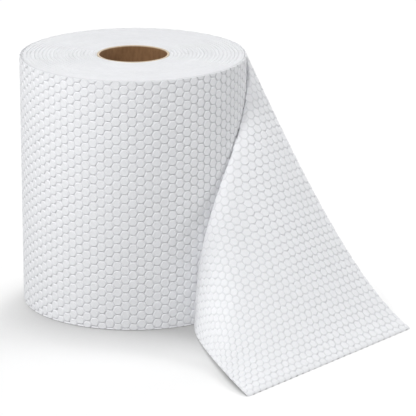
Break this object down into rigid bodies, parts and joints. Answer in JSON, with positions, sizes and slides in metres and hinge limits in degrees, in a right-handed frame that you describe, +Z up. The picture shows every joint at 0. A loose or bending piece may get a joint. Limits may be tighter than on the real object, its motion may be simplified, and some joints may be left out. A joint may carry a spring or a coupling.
{
  "type": "disposable towel roll",
  "caption": "Roll of honeycomb-embossed white towel on an open cardboard core, standing on its end with its loose end drawn off and laid down",
  "frame": {"origin": "on the roll's axis, in the plane of its lower end, where the core's bore opens", "axes": "+Z up the roll's axis; +X towards the side where the loose end leaves the roll; -Y towards the side where it lies"},
  "size_m": [0.3066, 0.3271, 0.2],
  "materials": {
    "towel": "matt white creped tissue, embossed with a honeycomb of soft pads",
    "core_board": "plain brown spiral-wound paperboard"
  },
  "bodies": {
    "root": {"towel_web": "towel", "cardboard_core": "core_board"}
  },
  "joints": []
}
